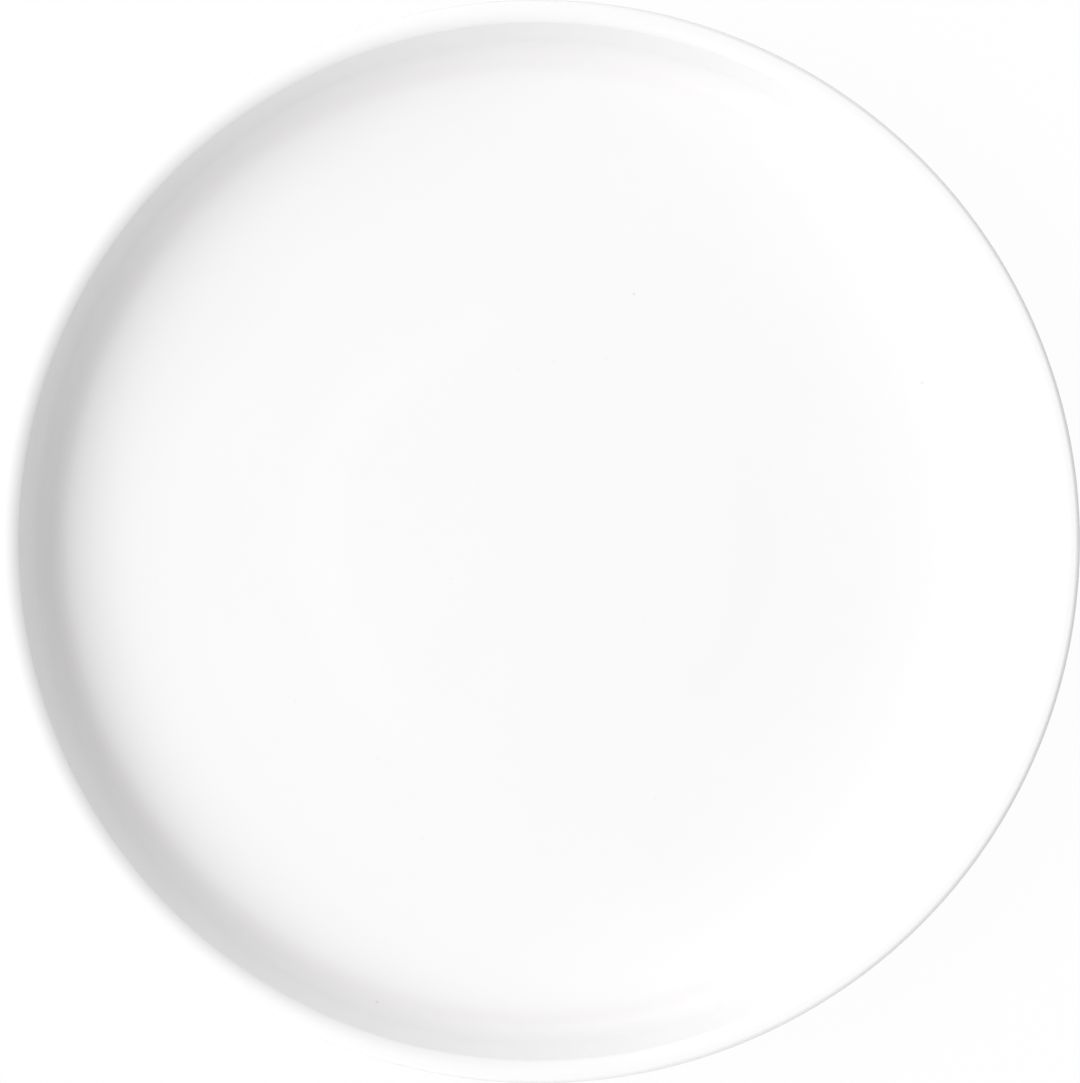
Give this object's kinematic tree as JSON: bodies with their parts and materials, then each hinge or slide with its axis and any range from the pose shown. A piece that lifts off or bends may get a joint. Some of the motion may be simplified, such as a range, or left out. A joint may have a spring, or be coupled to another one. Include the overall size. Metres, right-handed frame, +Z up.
{
  "type": "coupe dinner plate",
  "caption": "Round white glazed coupe dinner plate: flat floor turned up into a low leaning wall with a rounded lip, on a bare foot ring.",
  "frame": {"origin": "on the table under the middle of the plate, at the sole of the foot ring", "axes": "+Z up the plate's axis of turning, out of the dish; +X and +Y are any two square directions across it, since the plate is round"},
  "size_m": [0.27, 0.27, 0.026],
  "materials": {
    "fired_clay": "matte",
    "white_glaze": "gloss"
  },
  "bodies": {
    "root": {"clay_body": "fired_clay", "glaze_coat": "white_glaze", "base_glaze": "white_glaze"}
  },
  "joints": []
}
